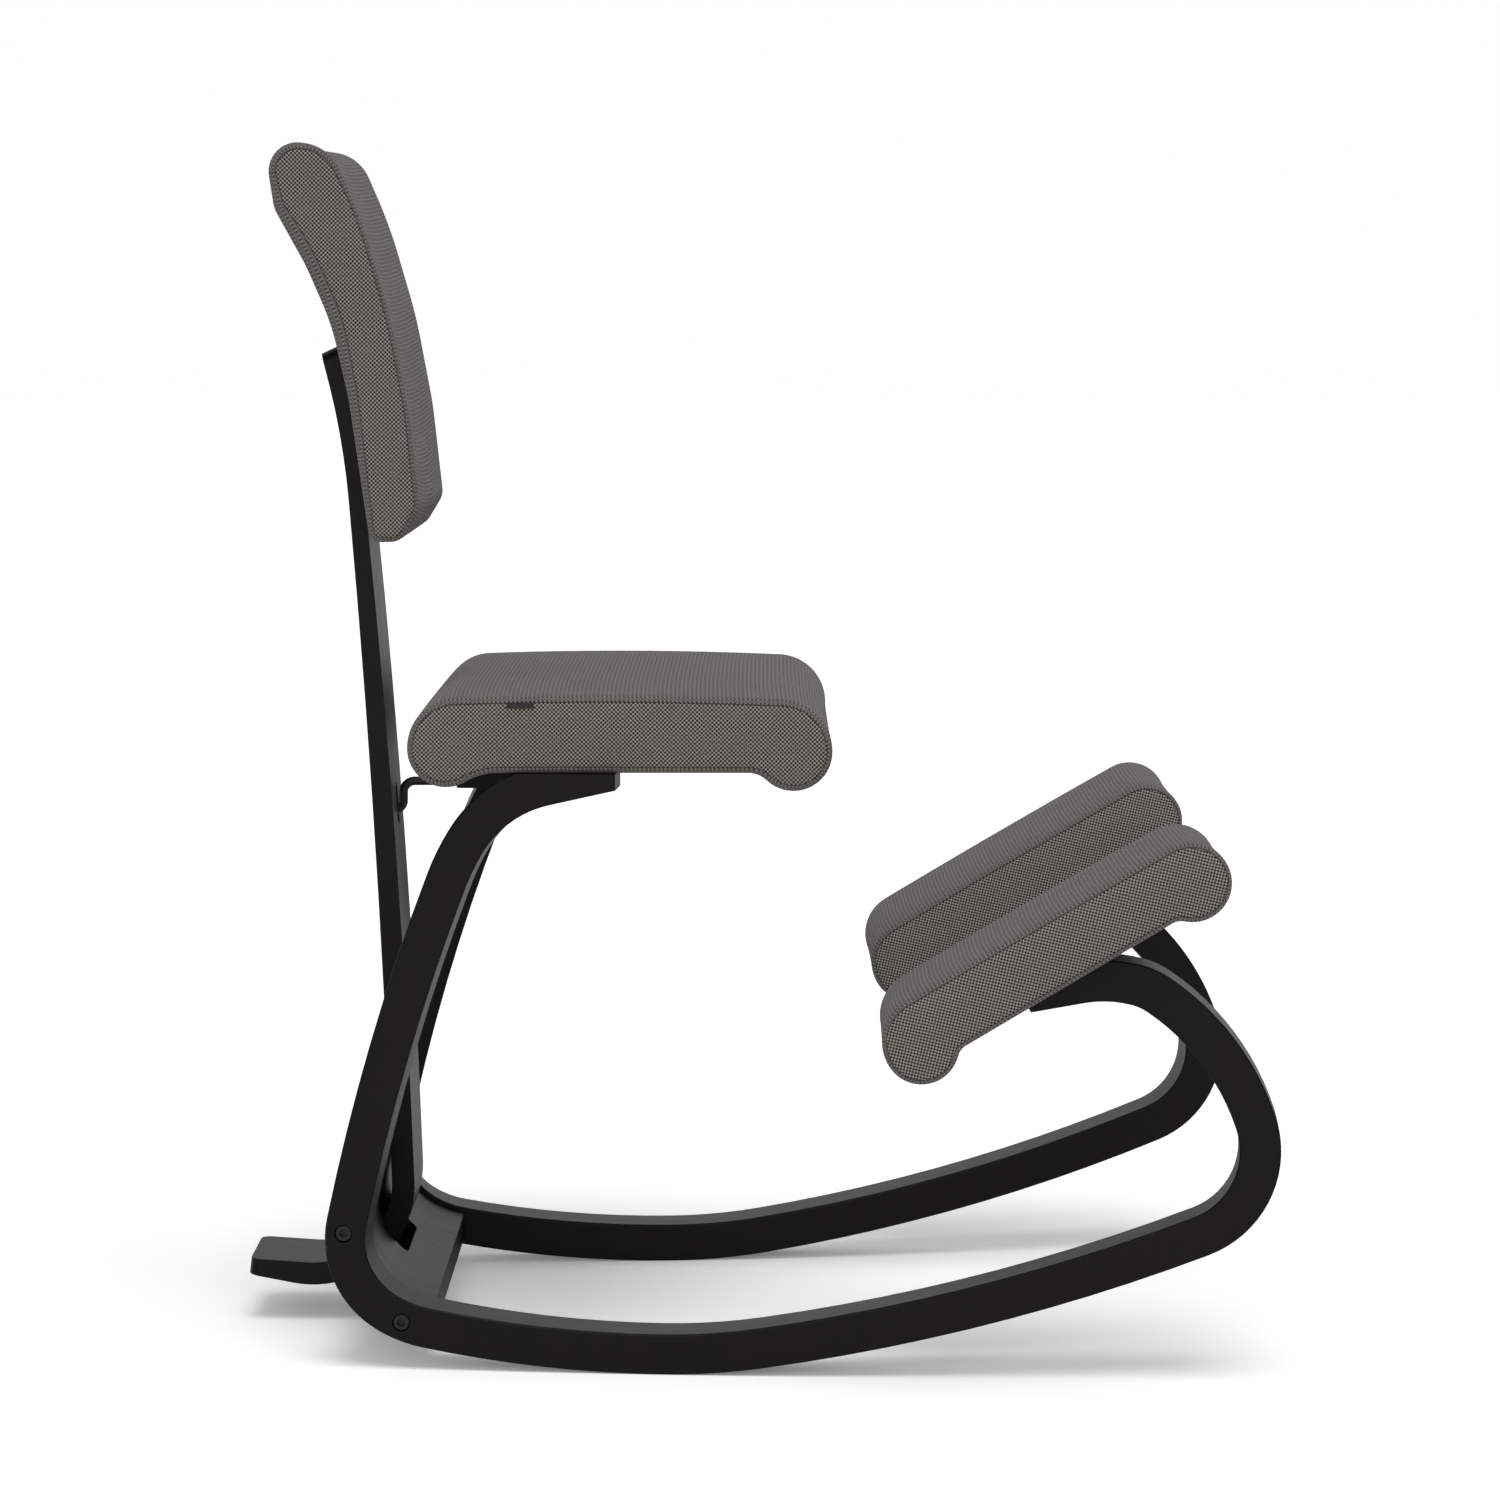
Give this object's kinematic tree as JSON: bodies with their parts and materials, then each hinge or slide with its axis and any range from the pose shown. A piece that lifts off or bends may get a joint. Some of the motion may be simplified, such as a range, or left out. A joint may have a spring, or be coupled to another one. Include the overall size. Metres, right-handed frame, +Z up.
{
  "type": "kneeling chair",
  "caption": "Kneeling chair on curved laminated-wood rocking runners, with an upholstered seat, split knee cushions and a backrest on a flexible wooden stem.",
  "frame": {"origin": "centre of the box that holds the chair, on the floor under the lowest line of the runners", "axes": "+X towards the sitter's knees (the front), +Y to the sitter's left, +Z up"},
  "size_m": [0.7989, 0.5824, 0.9292],
  "materials": {
    "dark_wood": "dark brown-black stain, satin lacquer, laminated edges",
    "weave": "two-tone greige hopsack upholstery",
    "foam": "moulded foam, hidden",
    "plywood": "raw plywood, hidden",
    "tab_cloth": "plain black woven tab",
    "black_metal": "black oxide, semi-matt",
    "zinc_steel": "zinc plated"
  },
  "bodies": {
    "frame": {"runner_right": "dark_wood", "runner_left": "dark_wood", "cross_board": "dark_wood", "cross_board_bolts": "black_metal", "cross_board_nuts": "black_metal", "seat_board": "plywood", "seat_foam": "foam", "seat_cover": "weave", "seat_nuts": "zinc_steel", "seat_screws": "zinc_steel", "seam_tab": "tab_cloth", "knee_board_right": "plywood", "knee_foam_right": "foam", "knee_cover_right": "weave", "knee_board_left": "plywood", "knee_foam_left": "foam", "knee_cover_left": "weave", "knee_nuts": "zinc_steel", "knee_screws": "zinc_steel", "hook_rod": "black_metal", "hook_block": "dark_wood", "hook_screws": "zinc_steel"},
    "backrest": {"backrest_stem": "dark_wood", "backrest_board": "plywood", "backrest_foam": "foam", "backrest_cover": "weave", "backrest_nuts": "zinc_steel", "backrest_screws": "zinc_steel"}
  },
  "joints": [
    {"name": "backrest_lean", "type": "hinge", "parent": "frame", "child": "backrest", "pos_m": [-0.28318, 0, 0.0681], "axis": [0, 1, 0], "range_deg": [-2, 0], "stiffness_Nm_per_rad": 1200}
  ]
}
